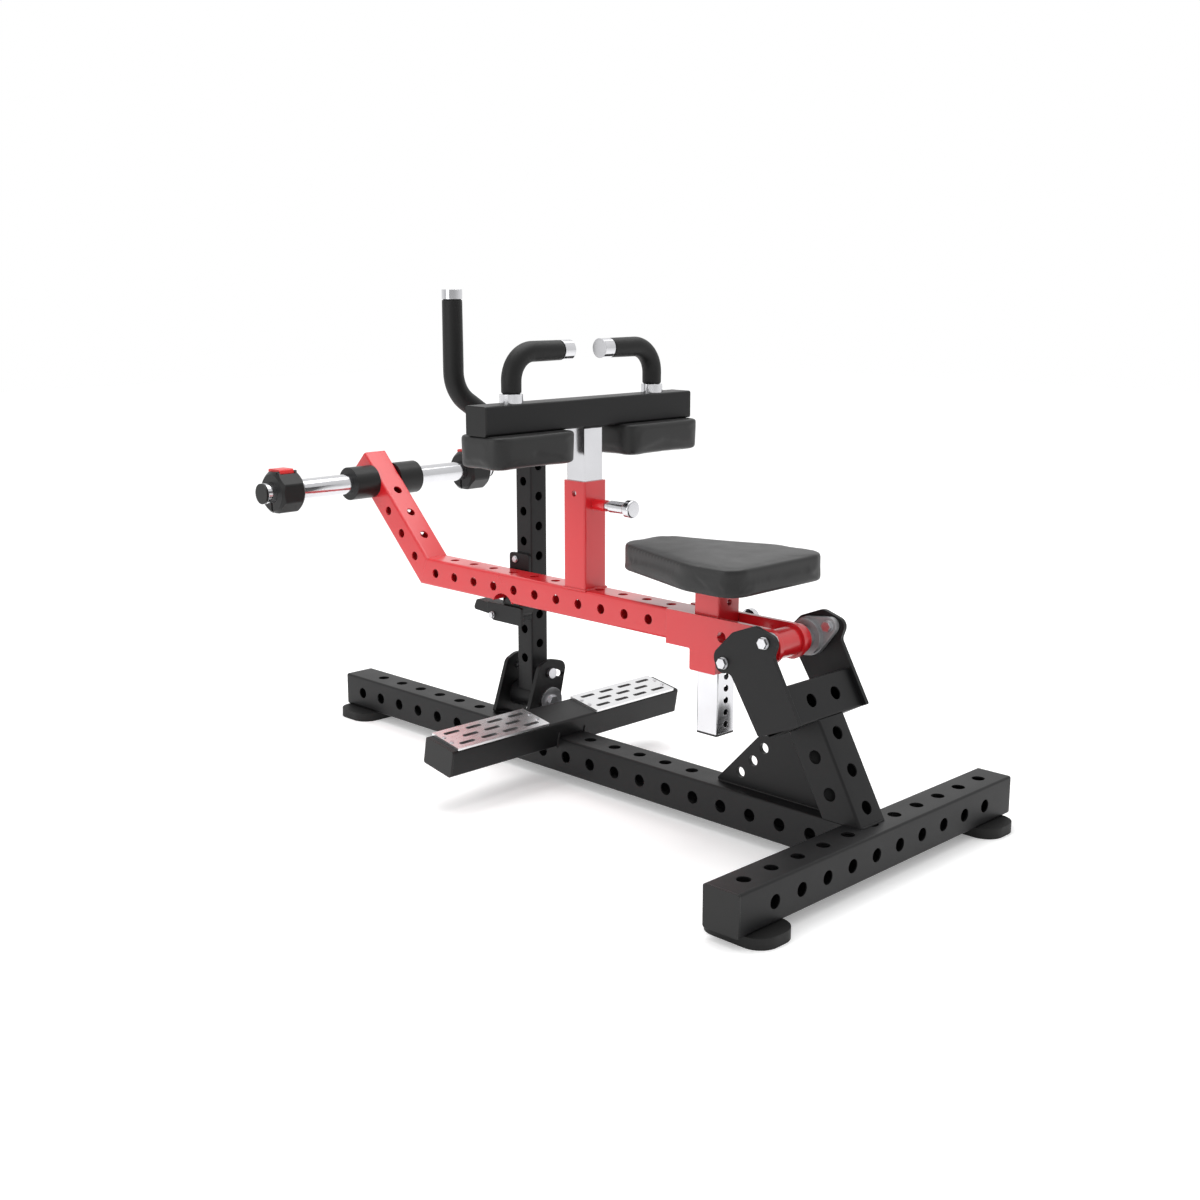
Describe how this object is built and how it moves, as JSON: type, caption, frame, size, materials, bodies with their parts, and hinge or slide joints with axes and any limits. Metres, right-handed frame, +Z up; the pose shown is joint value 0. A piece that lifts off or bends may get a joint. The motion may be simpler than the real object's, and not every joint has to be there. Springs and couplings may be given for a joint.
{
  "type": "seated calf raise machine",
  "caption": "Seated calf-raise machine: tube base with footrest, leaning bearing tower, swinging lever with seat, thigh pads and plate horn, and a swing-away catch.",
  "frame": {"origin": "on the floor under the middle of the machine's bounding box", "axes": "+Z up, +Y from the rear beam towards the weight horn, +X to the side the catch post stands on"},
  "size_m": [0.87, 1.6786, 1.079],
  "materials": {
    "lever_red": "satin powder coat",
    "latch_red": "moulded",
    "chrome": "polished",
    "tread_steel": "brushed",
    "zinc_steel": "zinc plated",
    "black_plastic": "moulded",
    "foot_rubber": "matt",
    "grip_rubber": "fine texture",
    "pad_vinyl": "grained vinyl",
    "frame_black": "textured powder coat"
  },
  "bodies": {
    "root": {"main_rail": "frame_black", "rear_beam": "frame_black", "base_caps": "black_plastic", "feet": "foot_rubber", "footrest_beam": "frame_black", "tread_left": "tread_steel", "tread_right": "tread_steel", "tread_screws": "zinc_steel", "tower_tube": "frame_black", "tower_head": "frame_black", "tower_gusset": "frame_black", "tower_cheek_left": "frame_black", "tower_cheek_right": "frame_black", "bearing_housing_left": "zinc_steel", "bearing_housing_right": "zinc_steel", "bearing_bolts": "zinc_steel", "catch_ear_rear": "frame_black", "catch_ear_front": "frame_black", "catch_pivot_bolt": "chrome"},
    "lever": {"lever_arm": "lever_red", "lever_riser": "lever_red", "lever_plates": "lever_red", "lever_hub": "lever_red", "pivot_shaft": "chrome", "bearing_rings": "zinc_steel", "seat_sleeve": "lever_red", "thigh_sleeve": "lever_red", "pin_bosses": "lever_red", "pin_barrels": "chrome", "weight_horn": "chrome", "horn_collars": "black_plastic", "horn_caps": "black_plastic"},
    "seat": {"seat_post": "chrome", "seat_post_plug": "black_plastic", "seat_plate": "frame_black", "seat_bolts": "zinc_steel", "seat_cushion": "pad_vinyl"},
    "thigh_rest": {"thigh_post": "chrome", "thigh_beam": "frame_black", "thigh_caps": "black_plastic", "thigh_pad_left": "pad_vinyl", "thigh_pad_right": "pad_vinyl", "handle_bars": "chrome", "handle_grip_left": "grip_rubber", "handle_grip_right": "grip_rubber"},
    "thigh_pin": {"thigh_pin": "chrome"},
    "seat_pin": {"seat_pin": "chrome"},
    "clip_left": {"clip_body_left": "black_plastic"},
    "clip_right": {"clip_body_right": "black_plastic"},
    "latch_left": {"clip_latch_left": "latch_red"},
    "latch_right": {"clip_latch_right": "latch_red"},
    "catch": {"catch_post": "frame_black", "catch_cap": "black_plastic", "catch_stop_bolt": "zinc_steel", "catch_hook": "frame_black", "hook_roller": "black_plastic", "hook_bolts": "zinc_steel", "catch_handle_bar": "frame_black", "catch_handle_grip": "grip_rubber"}
  },
  "joints": [
    {"name": "lever_pivot", "type": "hinge", "parent": "root", "child": "lever", "pos_m": [0, -0.53575, 0.411], "axis": [1, 0, 0], "range_deg": [0, 14]},
    {"name": "seat_slide", "type": "slide", "parent": "lever", "child": "seat", "axis": [0, 0, 1], "range_m": [0, 0.15]},
    {"name": "thigh_slide", "type": "slide", "parent": "lever", "child": "thigh_rest", "axis": [0, 0, 1], "range_m": [0, 0.15]},
    {"name": "seat_pin_pull", "type": "slide", "parent": "lever", "child": "seat_pin", "axis": [1, 0, 0], "range_m": [-0.01, 0]},
    {"name": "thigh_pin_pull", "type": "slide", "parent": "lever", "child": "thigh_pin", "axis": [0, -1, 0], "range_m": [-0.01, 0]},
    {"name": "clip_left_slide", "type": "slide", "parent": "lever", "child": "clip_left", "axis": [-1, 0, 0], "range_m": [0, 0.1]},
    {"name": "clip_right_slide", "type": "slide", "parent": "lever", "child": "clip_right", "axis": [1, 0, 0], "range_m": [0, 0.1]},
    {"name": "latch_left_hinge", "type": "hinge", "parent": "clip_left", "child": "latch_left", "pos_m": [-0.2875, 0.70639, 0.65834], "axis": [1, 0, 0], "range_deg": [0, 70]},
    {"name": "latch_right_hinge", "type": "hinge", "parent": "clip_right", "child": "latch_right", "pos_m": [0.2875, 0.70639, 0.65834], "axis": [1, 0, 0], "range_deg": [0, 70]},
    {"name": "catch_swing", "type": "hinge", "parent": "root", "child": "catch", "pos_m": [0.072, 0.25125, 0.136], "axis": [0, 1, 0], "range_deg": [0, 30]}
  ]
}
